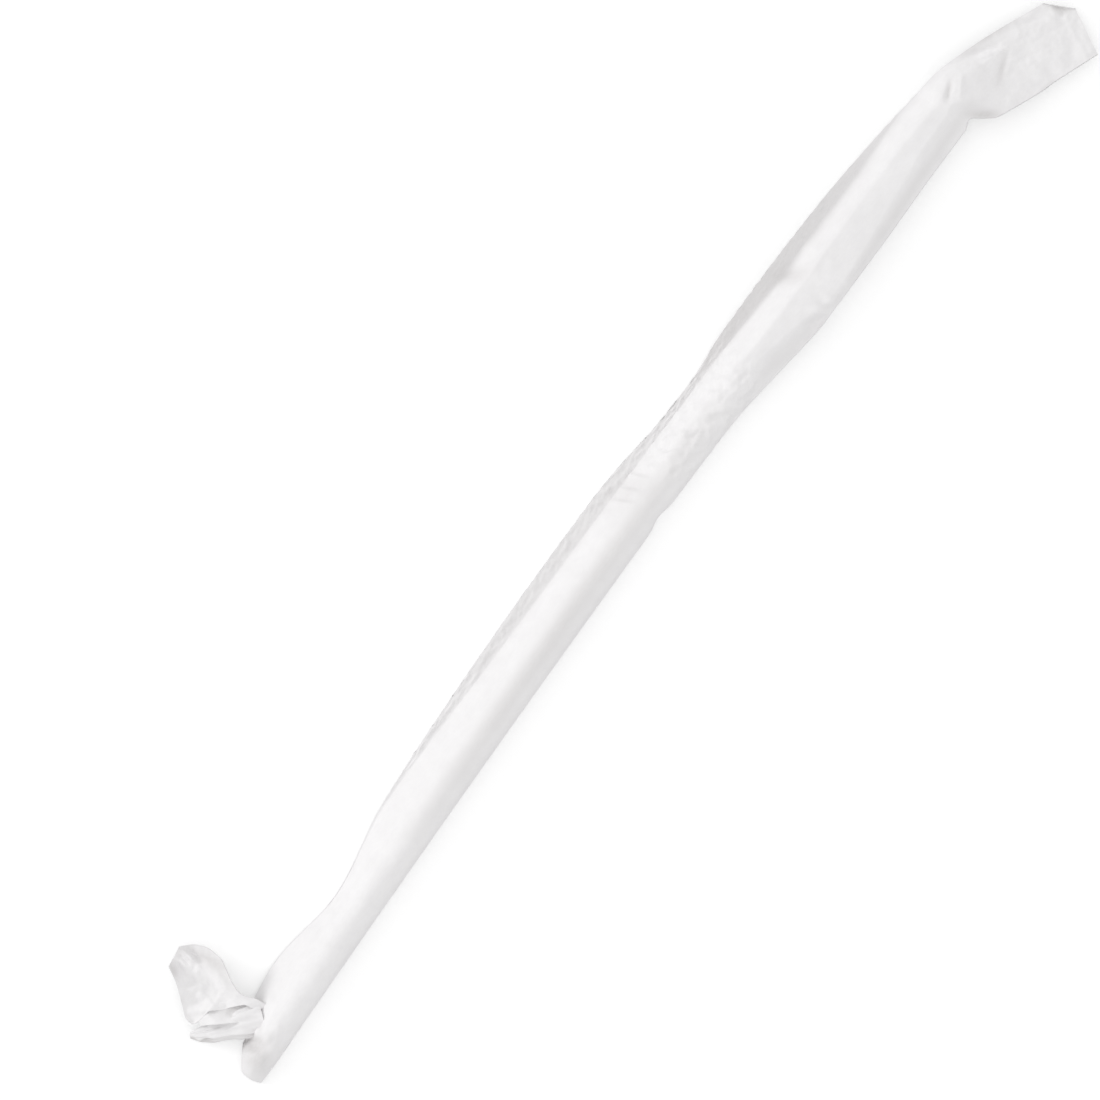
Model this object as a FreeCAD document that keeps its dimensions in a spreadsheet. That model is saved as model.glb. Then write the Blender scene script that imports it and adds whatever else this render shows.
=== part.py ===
import FreeCAD, Part

import math
import os

import Sketcher

NODE = "wrapped_straw"
SHEET = "Dimensions"

# A drinking straw sealed in its paper sleeve, lying on a table. The sleeve hides the straw and is
# closed at both ends, so the pack is one solid. +X runs along the straw, from the end whose paper is
# folded up to the end whose paper lies flat, +Y is to the side where the folded paper sticks out,
# +Z is up, and the origin is on the table under the middle of the straw.

# The sizes that the pack is made of, in millimetres and degrees
SIZES = {
    "straw_length": 197.0,
    "straw_diameter": 5.5,
    "paper_thickness": 0.12,
    "rest_width": 1.6,
    "bow": 1.2,
    "blunt_length": 1.4,
    "blunt_width": 3.6,
    "blunt_height": 1.2,
    "blunt_shift": 1.0,
    "blunt_gap": 0.1,
    "tail_length": 18.6,
    "tail_width": 11.6,
    "tail_shift": 3.2,
    "tail_bend": 22.0,
    "tail_slant": 0.9,
    "tail_root": 4.7,
    "tail_flare": 3.7,
    "tail_flare_width": 2.1,
    "tail_height": 3.2,
    "tail_pitch": 5.0,
    "corner_along": 4.2,
    "corner_across": 3.6,
    "tent_length": 5.4,
    "tent_swing": 2.3,
    "tent_width": 0.6,
    "wrinkle_place": 0.556,
    "wrinkle_pitch": 1.7,
    "wrinkle_width": 1.0,
    "wrinkle_height": 0.22,
    "wrinkle_start": 35.0,
}
WRINKLES = 3

# Cross-sections of the sleeve, from the folded end to the flat end. The sleeve is a tube pressed
# into two seams: the far seam on the +Y side and the near seam on the -Y side. Each row gives the
# place as a share of the straw's length, then how far the far seam reaches past the straw, the width
# of its flat strip and its height above the table, and the same for the near seam.
SECTION_SIZES = ("place", "far_reach", "far_strip", "far_height", "near_reach", "near_strip", "near_height")
SLEEVE = {
    "pinch": (0.012, 0.35, 0.10, 2.20, 0.15, 0.05, 2.60),
    "flare": (0.045, 2.90, 0.50, 0.90, 0.15, 0.05, 2.60),
    "bulge": (0.080, 3.55, 0.70, 0.35, 0.15, 0.05, 2.60),
    "nip": (0.152, 1.65, 0.40, 0.10, 0.15, 0.05, 2.60),
    "rise": (0.235, 3.85, 0.90, 0.10, 0.15, 0.05, 2.60),
    "spread": (0.330, 4.60, 1.90, 0.10, 0.15, 0.05, 2.60),
    "middle": (0.440, 4.90, 2.40, 0.10, 0.15, 0.05, 2.60),
    "long_side": (0.535, 4.80, 2.40, 0.10, 0.15, 0.05, 2.60),
    "wrinkled": (0.575, 4.30, 2.00, 0.10, 0.20, 0.05, 2.40),
    "waist": (0.620, 3.40, 1.20, 0.10, 0.30, 0.10, 2.00),
    "gather": (0.660, 3.20, 1.00, 0.10, 0.60, 0.20, 1.50),
    "turn": (0.705, 3.85, 1.70, 0.10, 1.55, 0.35, 0.70),
    "pucker": (0.765, 3.95, 2.20, 0.10, 2.70, 0.50, 0.15),
    "panel": (0.830, 3.70, 1.80, 0.10, 2.68, 0.60, 0.12),
    "taper": (0.915, 2.60, 0.90, 0.50, 2.35, 0.60, 0.60),
    "collar": (0.968, 1.45, 0.50, 2.20, 2.30, 0.60, 2.50),
    "rim": (0.998, 0.90, 0.40, 2.90, 2.10, 0.60, 3.00),
}

# The leaf: the sealed end of the sleeve, folded back off the straw and flared into a cupped sheet.
# Each row gives its place across from the straw's end, its centre along the straw from there, its
# width, the height of its valley, and how far its left and right sides curl above the valley.
LEAF_SIZES = ("place", "centre", "width", "height", "left_curl", "right_curl")
LEAF = {
    "leaf_root": (2.6, 6.2, 3.4, 3.4, 0.2, 0.4),
    "leaf_neck": (8.6, 6.6, 4.2, 3.0, 0.5, 0.9),
    "leaf_flare": (11.0, 5.3, 8.8, 1.9, 1.0, 1.7),
    "leaf_belly": (12.6, 5.3, 10.6, 1.2, 1.5, 2.3),
    "leaf_top": (16.8, 7.4, 8.0, 0.5, 2.4, 2.0),
    "leaf_tip": (20.8, 7.8, 2.2, 0.5, 2.6, 1.2),
}

# The roll: one edge of that end, twisted into a thin roll beside the leaf. Each row gives its place
# across from the straw's end, its centre along the straw, its width, its height and its thickness.
ROLL_SIZES = ("place", "centre", "width", "height", "thickness")
ROLL = {
    "roll_root": (2.0, 4.4, 3.0, 2.7, 3.4),
    "roll_neck": (5.0, 3.4, 3.4, 2.8, 2.8),
    "roll_belly": (8.0, 1.3, 4.6, 2.2, 2.2),
    "roll_shoulder": (9.8, -0.15, 3.3, 1.6, 1.7),
    "roll_tip": (11.0, -1.35, 1.1, 1.3, 0.8),
}


def cell(name):
    """The expression that reads one size from the sheet."""
    return f"{SHEET}.{name}"


# Sizes worked out from the sheet, as expressions
SKIN_RADIUS = f"({cell('straw_diameter')} / 2 + {cell('paper_thickness')})"
CENTRE_HEIGHT = f"sqrt({SKIN_RADIUS} ^ 2 - ({cell('rest_width')} / 2) ^ 2)"
TWO_PLIES = f"(2 * {cell('paper_thickness')})"
LOW_END = f"(-{cell('straw_length')} / 2)"
HIGH_END = f"({cell('straw_length')} / 2)"
END_SIDE = f"(-{cell('bow')})"
TAIL_FAR = f"({cell('tail_width')} / 2 - {cell('tail_shift')})"
TAIL_NEAR = f"(-{cell('tail_width')} / 2 - {cell('tail_shift')})"


def along(place):
    """Where a share of the straw's length lies on the X axis."""
    return f"({LOW_END} + {place} * {cell('straw_length')})"


def axis_side(place):
    """How far to the side the bowed straw's axis lies at a share of its length."""
    return f"(-{cell('bow')} * (1 - 2 * {place}) ^ 2)"


def named_rows():
    """Every size of the sections, each under the name of its row and of its column."""
    rows = {}
    for table, columns in ((SLEEVE, SECTION_SIZES), (LEAF, LEAF_SIZES), (ROLL, ROLL_SIZES)):
        for row, values in table.items():
            for column, value in zip(columns, values):
                rows[f"{row}_{column}"] = value
    return rows


def make_sheet(doc):
    """The spreadsheet that drives the model: one row for each size, its name beside its value."""
    sheet = doc.addObject("Spreadsheet::Sheet", SHEET)
    sizes = {**SIZES, **named_rows()}
    for line, (name, value) in enumerate(sizes.items(), start=1):
        sheet.set(f"A{line}", name)
        sheet.set(f"B{line}", str(value))
        sheet.setAlias(f"B{line}", name)
    doc.recompute()
    return sheet


def origin_plane(body, role):
    """One of the body's own origin planes."""
    return next(plane for plane in body.Origin.OriginFeatures if plane.Role == role)


def place_sketch(body, name, role, offset, turn=None):
    """An empty sketch parallel to an origin plane and moved along its normal, or turned after that."""
    sketch = body.newObject("Sketcher::SketchObject", name)
    sketch.AttachmentSupport = (origin_plane(body, role), [""])
    sketch.MapMode = "FlatFace"
    if turn:
        x_shift, y_shift, yaw, pitch = turn
        sketch.setExpression("AttachmentOffset.Base.x", x_shift)
        sketch.setExpression("AttachmentOffset.Base.y", y_shift)
        sketch.setExpression("AttachmentOffset.Rotation.Yaw", yaw)
        sketch.setExpression("AttachmentOffset.Rotation.Pitch", pitch)
    sketch.setExpression("AttachmentOffset.Base.z", offset)
    return sketch


def bind(sketch, kind, *where, size):
    """A dimension of the sketch that follows an expression."""
    index = sketch.addConstraint(Sketcher.Constraint(kind, *where, sketch.evalExpression(size)))
    sketch.setExpression(f"Constraints[{index}]", size)


def draw_outline(sketch, corners):
    """A closed outline of straight edges whose corners follow pairs of expressions."""
    points = [FreeCAD.Vector(*(sketch.evalExpression(part) for part in corner)) for corner in corners]
    count = len(points)
    for index, point in enumerate(points):
        sketch.addGeometry(Part.LineSegment(point, points[(index + 1) % count]), False)
    for index, (across, up) in enumerate(corners):
        sketch.addConstraint(Sketcher.Constraint("Coincident", index, 2, (index + 1) % count, 1))
        bind(sketch, "DistanceX", index, 1, size=across)
        bind(sketch, "DistanceY", index, 1, size=up)


def tangent_point(centre, radius, outside, side):
    """Where the line from a point outside a circle touches it, on the side given by +1 or -1."""
    reach = outside - centre
    angle = math.atan2(reach.y, reach.x) + side * math.acos(radius / reach.Length)
    return centre + FreeCAD.Vector(math.cos(angle), math.sin(angle)) * radius


def arc_between(centre, radius, start, end):
    """The arc of a circle that runs anticlockwise from one of its points to another."""
    angles = [math.atan2(point.y - centre.y, point.x - centre.x) for point in (start, end)]
    circle = Part.Circle(centre, FreeCAD.Vector(0, 0, 1), radius)
    return Part.ArcOfCircle(circle, *angles)


def tube_sketch(body, name, offset, tube):
    """Paper drawn tight from each flat seam over and under a round core."""
    sketch = place_sketch(body, name, "YZ_Plane", offset)
    far_top = f"({tube['far_height']} + {TWO_PLIES})"
    near_top = f"({tube['near_height']} + {TWO_PLIES})"
    far_inner = f"({tube['far_tip']} - {tube['far_strip']})"
    near_inner = f"({tube['near_tip']} + {tube['near_strip']})"

    def point(across, up):
        return FreeCAD.Vector(sketch.evalExpression(across), sketch.evalExpression(up))

    radius = sketch.evalExpression(tube["radius"])
    centre = point(tube["middle"], tube["centre_height"])
    far_low = point(tube["far_tip"], tube["far_height"])
    far_high = point(tube["far_tip"], far_top)
    far_crease = point(far_inner, far_top)
    near_low = point(tube["near_tip"], tube["near_height"])
    near_high = point(tube["near_tip"], near_top)
    near_crease = point(near_inner, near_top)
    far_over = tangent_point(centre, radius, far_crease, 1)
    near_over = tangent_point(centre, radius, near_crease, -1)
    near_under = tangent_point(centre, radius, near_low, 1)
    far_under = tangent_point(centre, radius, far_low, -1)

    edges = {
        "far_tip": Part.LineSegment(far_low, far_high),
        "far_strip": Part.LineSegment(far_high, far_crease),
        "far_slope": Part.LineSegment(far_crease, far_over),
        "over": arc_between(centre, radius, far_over, near_over),
        "near_slope": Part.LineSegment(near_over, near_crease),
        "near_strip": Part.LineSegment(near_crease, near_high),
        "near_tip": Part.LineSegment(near_high, near_low),
        "near_under": Part.LineSegment(near_low, near_under),
        "under": arc_between(centre, radius, near_under, far_under),
        "far_under": Part.LineSegment(far_under, far_low),
    }
    at = {edge: sketch.addGeometry(shape, False) for edge, shape in edges.items()}
    names = list(edges)
    for first, second in zip(names, names[1:] + names[:1]):
        kind = "Tangent" if {first, second} & {"over", "under"} else "Coincident"
        sketch.addConstraint(Sketcher.Constraint(kind, at[first], 2, at[second], 1))
    sketch.addConstraint(Sketcher.Constraint("Coincident", at["over"], 3, at["under"], 3))
    sketch.addConstraint(Sketcher.Constraint("Equal", at["over"], at["under"]))
    bind(sketch, "Radius", at["over"], size=tube["radius"])
    bind(sketch, "DistanceX", at["over"], 3, size=tube["middle"])
    bind(sketch, "DistanceY", at["over"], 3, size=tube["centre_height"])
    for edge, across, up in (
        ("far_tip", tube["far_tip"], tube["far_height"]),
        ("far_strip", tube["far_tip"], far_top),
        ("far_slope", far_inner, far_top),
        ("near_strip", near_inner, near_top),
        ("near_tip", tube["near_tip"], near_top),
        ("near_under", tube["near_tip"], tube["near_height"]),
    ):
        bind(sketch, "DistanceX", at[edge], 1, size=across)
        bind(sketch, "DistanceY", at[edge], 1, size=up)
    return sketch


def sleeve_sketch(body, row):
    """One cross-section of the sleeve over the straw."""
    size = {column: cell(f"{row}_{column}") for column in SECTION_SIZES}
    middle = axis_side(size["place"])
    tube = {
        "radius": SKIN_RADIUS,
        "middle": middle,
        "centre_height": CENTRE_HEIGHT,
        "far_tip": f"({middle} + {SKIN_RADIUS} + {size['far_reach']})",
        "far_strip": size["far_strip"],
        "far_height": size["far_height"],
        "near_tip": f"({middle} - {SKIN_RADIUS} - {size['near_reach']})",
        "near_strip": size["near_strip"],
        "near_height": size["near_height"],
    }
    return tube_sketch(body, row, along(size["place"]), tube)


def loft(body, name, sketches, ruled=False):
    """A solid drawn through cross-sections in a row."""
    feature = body.newObject("PartDesign::AdditiveLoft", name)
    feature.Profile = sketches[0]
    feature.Sections = sketches[1:]
    feature.Ruled = ruled
    return feature


def pad(body, name, sketch, height):
    """A solid of even thickness over a sketch."""
    feature = body.newObject("PartDesign::Pad", name)
    feature.Profile = sketch
    feature.setExpression("Length", height)
    return feature


def stadium_sketch(body, name, offset, middle, centre_height, radius, straight):
    """A round-ended slot standing across the straw."""
    sketch = place_sketch(body, name, "YZ_Plane", offset)
    side, up = sketch.evalExpression(middle), sketch.evalExpression(centre_height)
    round_size, half = sketch.evalExpression(radius), sketch.evalExpression(straight) / 2
    upward = FreeCAD.Vector(0, round_size)
    far, near = FreeCAD.Vector(side + half, up), FreeCAD.Vector(side - half, up)
    for shape in (
        arc_between(far, round_size, far - upward, far + upward),
        Part.LineSegment(far + upward, near + upward),
        arc_between(near, round_size, near + upward, near - upward),
        Part.LineSegment(near - upward, far - upward),
    ):
        sketch.addGeometry(shape, False)
    for first, second in ((0, 1), (1, 2), (2, 3), (3, 0)):
        sketch.addConstraint(Sketcher.Constraint("Tangent", first, 2, second, 1))
    bind(sketch, "Radius", 0, size=radius)
    bind(sketch, "DistanceX", 0, 3, size=f"{middle} + {straight} / 2")
    bind(sketch, "DistanceX", 2, 3, size=f"{middle} - {straight} / 2")
    bind(sketch, "DistanceY", 0, 3, size=centre_height)
    return sketch


def add_sleeve(body):
    """The long tube of paper over the straw."""
    loft(body, "Sleeve", [sleeve_sketch(body, row) for row in SLEEVE])


def add_blunt_end(body):
    """The paper pressed over the straw's lower end, from round to a blunt slot."""
    root = cell("pinch_place")
    blunt_radius = f"({cell('blunt_height')} / 2)"
    round_part = stadium_sketch(
        body,
        "BluntRoot",
        along(root),
        axis_side(root),
        CENTRE_HEIGHT,
        SKIN_RADIUS,
        f"({cell('paper_thickness')})",
    )
    slot = stadium_sketch(
        body,
        "BluntSlot",
        f"{LOW_END} - {cell('blunt_length')}",
        f"({END_SIDE} - {cell('blunt_shift')})",
        f"({blunt_radius} + {cell('blunt_gap')})",
        blunt_radius,
        f"({cell('blunt_width')} - {cell('blunt_height')})",
    )
    loft(body, "BluntEnd", [round_part, slot], ruled=True)


def add_tent(body):
    """The paper that falls from the straw's upper end to the flat tail, down to one point."""
    middle = f"({END_SIDE} - {cell('tent_swing')})"
    floor = f"({cell('tail_height')} - {cell('tent_length')} * tan({cell('tail_pitch')}))"
    side_height = f"({floor} + {cell('paper_thickness')})"
    tip = {
        "radius": TWO_PLIES,
        "middle": middle,
        "centre_height": f"({floor} + {TWO_PLIES})",
        "far_tip": f"({middle} + {TWO_PLIES} + {cell('tent_width')} / 2)",
        "far_strip": cell("paper_thickness"),
        "far_height": side_height,
        "near_tip": f"({middle} - {TWO_PLIES} - {cell('tent_width')} / 2)",
        "near_strip": cell("paper_thickness"),
        "near_height": side_height,
    }
    root_sketch = sleeve_sketch(body, "rim")
    tip_sketch = tube_sketch(body, "TentTip", f"{HIGH_END} + {cell('tent_length')}", tip)
    loft(body, "Tent", [root_sketch, tip_sketch], ruled=True)


def tail_sketch(body, name, height, corners):
    """An outline on the tail: its X axis runs down the tail, from the straw's upper end."""
    turn = (HIGH_END, END_SIDE, f"-{cell('tail_bend')}", cell("tail_pitch"))
    sketch = place_sketch(body, name, "XY_Plane", height, turn)
    draw_outline(sketch, corners)
    return sketch


def add_tail(body):
    """The sealed end that lies flat: both plies pressed together, with one corner folded over."""
    root = f"(-{cell('tail_root')})"
    end = cell("tail_length")
    along_fold, across_fold = cell("corner_along"), cell("corner_across")
    fold_start = (f"({end} - {along_fold})", TAIL_FAR)
    fold_end = (end, f"({TAIL_FAR} - {across_fold})")
    outline = [
        (root, TAIL_FAR),
        fold_start,
        fold_end,
        (f"({end} - {cell('tail_slant')})", TAIL_NEAR),
        (f"({root} + {cell('tail_flare')})", TAIL_NEAR),
        (root, f"({TAIL_NEAR} + {cell('tail_flare_width')})"),
    ]
    pad(body, "Tail", tail_sketch(body, "TailOutline", cell("tail_height"), outline), TWO_PLIES)

    squares = f"({along_fold} ^ 2 + {across_fold} ^ 2)"
    folded_corner = (
        f"({end} - 2 * {along_fold} * {across_fold} ^ 2 / {squares})",
        f"({TAIL_FAR} - 2 * {across_fold} * {along_fold} ^ 2 / {squares})",
    )
    flap = tail_sketch(
        body, "CornerOutline", f"{cell('tail_height')} + {TWO_PLIES}", [fold_start, fold_end, folded_corner]
    )
    pad(body, "Corner", flap, TWO_PLIES)


def leaf_sketch(body, row):
    """One cross-section of the leaf: two plies that dip to a valley between curled sides."""
    size = {column: cell(f"{row}_{column}") for column in LEAF_SIZES}
    centre = f"({LOW_END} + {size['centre']})"
    left, right = f"({centre} - {size['width']} / 2)", f"({centre} + {size['width']} / 2)"
    left_low, right_low = (f"({size['height']} + {size[curl]})" for curl in ("left_curl", "right_curl"))
    sketch = place_sketch(body, row, "XZ_Plane", f"-({END_SIDE} + {size['place']})")
    corners = [
        (left, left_low),
        (centre, size["height"]),
        (right, right_low),
        (right, f"({right_low} + {TWO_PLIES})"),
        (centre, f"({size['height']} + {TWO_PLIES})"),
        (left, f"({left_low} + {TWO_PLIES})"),
    ]
    draw_outline(sketch, corners)
    return sketch


def roll_sketch(body, row):
    """One cross-section of the roll: paper twisted to a six-sided bundle."""
    size = {column: cell(f"{row}_{column}") for column in ROLL_SIZES}
    sketch = place_sketch(body, row, "XZ_Plane", f"-({END_SIDE} + {size['place']})")
    corners = []
    for across, up in ((-2, 0), (-1, 1), (1, 1), (2, 0), (1, -1), (-1, -1)):
        corners.append(
            (
                f"({LOW_END} + {size['centre']} + {across} * {size['width']} / 4)",
                f"({size['height']} + {up} * {size['thickness']} / 2)",
            )
        )
    draw_outline(sketch, corners)
    return sketch


def wrinkle_sketch(body, name, side, height):
    """One end of a wrinkle: a small ridge whose foot lies inside the paper."""
    centre = along(cell("wrinkle_place"))
    left, right = (f"({centre} {sign} {cell('wrinkle_width')} / 2)" for sign in "-+")
    sketch = place_sketch(body, name, "XZ_Plane", f"-{side}")
    foot = f"({height} - {TWO_PLIES})"
    draw_outline(sketch, [(left, foot), (right, foot), (centre, f"({height} + {cell('wrinkle_height')})")])
    return sketch


def add_wrinkles(body):
    """Short ridges that run down the far slope, side by side, where the sleeve was squeezed."""
    place = cell("wrinkle_place")
    crown = f"({axis_side(place)} + {SKIN_RADIUS} * cos({cell('wrinkle_start')}))"
    crown_height = f"({CENTRE_HEIGHT} + {SKIN_RADIUS} * sin({cell('wrinkle_start')}))"
    slope = f"({cell('wrinkled_far_reach')} - {cell('wrinkled_far_strip')})"
    crease = f"({axis_side(place)} + {SKIN_RADIUS} + {slope})"
    crease_height = f"({cell('wrinkled_far_height')} + {TWO_PLIES})"
    ends = [
        wrinkle_sketch(body, "WrinkleTop", crown, crown_height),
        wrinkle_sketch(body, "WrinkleFoot", crease, crease_height),
    ]
    wrinkle = loft(body, "Wrinkle", ends, ruled=True)
    body.Document.recompute()
    row = body.newObject("PartDesign::LinearPattern", "Wrinkles")
    row.Originals = [wrinkle]
    row.Direction = (origin_plane(body, "X_Axis"), [""])
    row.Occurrences = WRINKLES
    row.setExpression("Length", f"{WRINKLES - 1} * {cell('wrinkle_pitch')}")
    body.Tip = row


def add_leaf(body):
    """The flared sheet at the folded end."""
    loft(body, "Leaf", [leaf_sketch(body, row) for row in LEAF], ruled=True)


def add_roll(body):
    """The thin roll beside the leaf."""
    loft(body, "Roll", [roll_sketch(body, row) for row in ROLL], ruled=True)


def add_rest(body):
    """The narrow flat on which the pack lies: everything below the table is pressed away."""
    reach = f"({cell('straw_length')} / 2 + {cell('tail_length')})"
    width = f"(3 * {SKIN_RADIUS})"
    sketch = place_sketch(body, "Table", "XY_Plane", "0")
    corners = [
        (f"-{reach}", f"({END_SIDE} - {width})"),
        (reach, f"({END_SIDE} - {width})"),
        (reach, width),
        (f"-{reach}", width),
    ]
    draw_outline(sketch, corners)
    cut = body.newObject("PartDesign::Pocket", "Rest")
    cut.Profile = sketch
    cut.setExpression("Length", SKIN_RADIUS)


def check(doc, body):
    """Stop if any object of the document failed, or if the pack isn't one sound solid."""
    for item in doc.Objects:
        if {"Invalid", "Error"} & set(item.State):
            raise RuntimeError(f"{item.Name} failed: {item.State}")
    if body.Shape.isNull() or not body.Shape.isValid() or len(body.Shape.Solids) != 1:
        raise RuntimeError("the pack isn't one valid solid")


def main():
    doc = FreeCAD.newDocument("WrappedStraw")
    make_sheet(doc)
    body = doc.addObject("PartDesign::Body", "Pack")
    body.Label = NODE
    add_sleeve(body)
    add_wrinkles(body)
    add_blunt_end(body)
    add_tent(body)
    add_tail(body)
    add_leaf(body)
    add_roll(body)
    doc.recompute()
    before = body.Shape.Volume
    add_rest(body)
    doc.recompute()
    check(doc, body)
    if not body.Shape.Volume < before:
        raise RuntimeError("the rest cut nothing")
    os.makedirs("parts", exist_ok=True)
    body.Shape.exportStep(f"parts/{NODE}.step")
    print(f"{NODE}: {body.Shape.Volume:.0f} mm3, {len(body.Shape.Faces)} faces")


main()
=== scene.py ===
# %% [markdown]
# # A wrapped drinking straw, seen from above
#
# The real object is one sheet of thin white paper pressed flat round a straw. Its two long seams
# lie flat beside the straw, one end is a flat sealed tail, and the other end is folded over and
# crushed. We load the solid model first, because it says how large everything is and where it
# lies. Each new piece is then made in the same frame, so that it needs no fitting.

# %% Load the solid model
import math

import bmesh
import bpy
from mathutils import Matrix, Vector, noise


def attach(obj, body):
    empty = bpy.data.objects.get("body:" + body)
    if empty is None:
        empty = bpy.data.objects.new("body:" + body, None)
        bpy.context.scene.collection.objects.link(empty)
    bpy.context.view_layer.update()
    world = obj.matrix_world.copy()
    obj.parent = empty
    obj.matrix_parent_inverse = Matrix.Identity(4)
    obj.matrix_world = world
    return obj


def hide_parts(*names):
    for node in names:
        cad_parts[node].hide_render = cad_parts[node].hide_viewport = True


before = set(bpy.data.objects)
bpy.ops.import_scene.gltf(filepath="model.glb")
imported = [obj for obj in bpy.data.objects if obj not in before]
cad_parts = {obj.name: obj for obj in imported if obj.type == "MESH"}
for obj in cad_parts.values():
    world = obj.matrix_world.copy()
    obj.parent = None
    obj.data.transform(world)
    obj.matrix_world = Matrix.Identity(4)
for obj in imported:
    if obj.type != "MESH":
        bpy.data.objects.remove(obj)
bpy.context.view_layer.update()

# %% [markdown]
# ## Sizes
#
# Thin paper is easiest to think about in millimetres, and Blender's unit is the metre, so one
# factor turns every point at the end. Places along the straw are counted from its low end, and
# places across from the straight line between its ends. The straw's middle bows aside from that
# line by a little more than a millimetre. SKIN is the radius of the paper that lies over the
# straw, and CORE_HEIGHT is how high the straw's middle lies.

# %% Sizes in millimetres
MM = 0.001
STRAW_LENGTH = 197.0
SKIN = 2.87
CORE_HEIGHT = 2.756
BOW = 1.2
PLY = 0.12
TWO_PLIES = 2.0 * PLY


def bowed(along):
    """How far the straw's middle lies to the side of the line between its ends, in mm."""
    return BOW * (1.0 - (1.0 - 2.0 * along / STRAW_LENGTH) ** 2)


def in_frame(along, across, up):
    """A place in mm, as a point of the frame in metres."""
    return Vector((along - STRAW_LENGTH / 2.0, across - BOW, up)) * MM


print("crown of the sleeve in mm:", round(CORE_HEIGHT + SKIN, 2))

# %% [markdown]
# ## Reading a table smoothly
#
# The sleeve is described by a few cross-sections, and between two of them the paper changes
# gently. A straight blend would show a ring at each section, and an ordinary spline can swing
# past its points. A cubic whose slopes are kept small never leaves its points' range.

# %% Smooth values between the rows of a table
def slope_at(places, values, row):
    """The slope that a shape-keeping cubic has at one row."""
    if row in (0, len(places) - 1):
        return 0.0
    left = (values[row] - values[row - 1]) / (places[row] - places[row - 1])
    right = (values[row + 1] - values[row]) / (places[row + 1] - places[row])
    if left * right <= 0.0:
        return 0.0
    return 2.0 * left * right / (left + right)


def smooth_value(places, values, place):
    """The value at a place, on a smooth curve through all the rows."""
    if place <= places[0]:
        return values[0]
    if place >= places[-1]:
        return values[-1]
    row = max(number for number, start in enumerate(places) if start <= place)
    gap = places[row + 1] - places[row]
    part = (place - places[row]) / gap
    first = slope_at(places, values, row) * gap
    last = slope_at(places, values, row + 1) * gap
    rise = values[row + 1] - values[row]
    bend = first + last - 2.0 * rise
    return values[row] + part * (first + part * (3.0 * rise - 2.0 * first - last + part * bend))


def smooth_row(table, place):
    """All the columns of a table at one place."""
    places = [row[0] for row in table]
    return [
        smooth_value(places, [row[column] for row in table], place)
        for column in range(1, len(table[0]))
    ]


def ease(low, high, value):
    """0 below low, 1 above high, and a soft step between them."""
    part = max(0.0, min(1.0, (value - low) / (high - low)))
    return part * part * (3.0 - 2.0 * part)


print("halfway between 0 and 1:", smooth_value([0.0, 1.0], [0.0, 1.0], 0.5))

# %% [markdown]
# ## The sleeve's cross-sections
#
# The paper is drawn tight from each flat seam over the straw, so a section is a flat strip, a
# straight slope, an arc over the straw, and the same on the near side. Each row gives a share of
# the straw's length, then how far the seam reaches past the straw, how wide its flat strip is
# and how high it lies, first for the far seam and then for the near one.

# %% The table of cross-sections
SECTIONS = [
    (0.012, 0.35, 0.10, 2.20, 0.15, 0.05, 2.60),
    (0.045, 2.90, 0.12, 0.90, 0.15, 0.05, 2.60),
    (0.080, 3.55, 0.12, 0.35, 0.15, 0.05, 2.60),
    (0.152, 1.65, 0.12, 0.10, 0.15, 0.05, 2.60),
    (0.235, 3.85, 0.40, 0.10, 0.15, 0.05, 2.60),
    (0.330, 4.60, 1.50, 0.10, 0.15, 0.05, 2.60),
    (0.440, 4.90, 2.30, 0.10, 0.15, 0.05, 2.60),
    (0.535, 4.80, 2.40, 0.10, 0.15, 0.05, 2.60),
    (0.552, 4.65, 2.25, 0.10, 0.02, 0.02, 2.60),
    (0.575, 4.30, 2.00, 0.10, 0.20, 0.05, 2.40),
    (0.620, 3.40, 1.20, 0.10, 0.30, 0.10, 2.20),
    (0.660, 3.20, 1.10, 0.12, 0.60, 0.20, 2.20),
    (0.705, 3.85, 1.90, 0.90, 1.55, 0.35, 2.30),
    (0.765, 3.95, 2.30, 2.50, 2.70, 0.50, 3.50),
    (0.830, 3.70, 1.80, 3.20, 2.68, 0.60, 3.60),
    (0.915, 2.60, 0.60, 3.40, 2.35, 0.60, 3.20),
    (0.968, 1.45, 0.15, 3.20, 2.30, 0.60, 2.90),
    (0.998, 0.90, 0.12, 3.30, 2.10, 0.60, 3.00),
]
print("cross-sections:", len(SECTIONS))

# %% Where tight paper leaves the straw
def touch_angle(across, up, side):
    """The angle on the straw at which a line from a point beside it touches the skin."""
    reach = math.hypot(across, up - CORE_HEIGHT)
    toward = math.atan2(up - CORE_HEIGHT, across)
    return toward + side * math.acos(min(1.0, SKIN / reach))


def on_skin(angle):
    """The point of the sleeve's skin at an angle round the straw, as across and up."""
    return SKIN * math.cos(angle), CORE_HEIGHT + SKIN * math.sin(angle)


print("a seam on the table leaves the skin at", round(math.degrees(touch_angle(7, 0.3, 1))), "deg")

# %% [markdown]
# ## One ring of the sleeve
#
# Every ring has the same number of points on each stretch, so the crease of the seam keeps to one
# line of points along the whole sleeve and shades cleanly. The upper stretches get most of the
# points, because they are what is seen.

# %% Points of one ring
UPPER = {"far_strip": 14, "far_slope": 20, "over": 20, "near_slope": 10, "near_strip": 4}
LOWER = {"near_under": 8, "under": 14, "far_under": 12}
UPPER_COUNT = sum(UPPER.values())
AROUND = UPPER_COUNT + sum(LOWER.values())


def run_of(start, end, count):
    """Evenly spaced points of a straight stretch, without its last."""
    return [
        (
            start[0] + (end[0] - start[0]) * step / count,
            start[1] + (end[1] - start[1]) * step / count,
        )
        for step in range(count)
    ]


def arc_of(start, end, count):
    """Evenly spaced points of the skin between two angles, without the last."""
    return [on_skin(start + (end - start) * step / count) for step in range(count)]


print("points in a ring:", AROUND)

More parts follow.
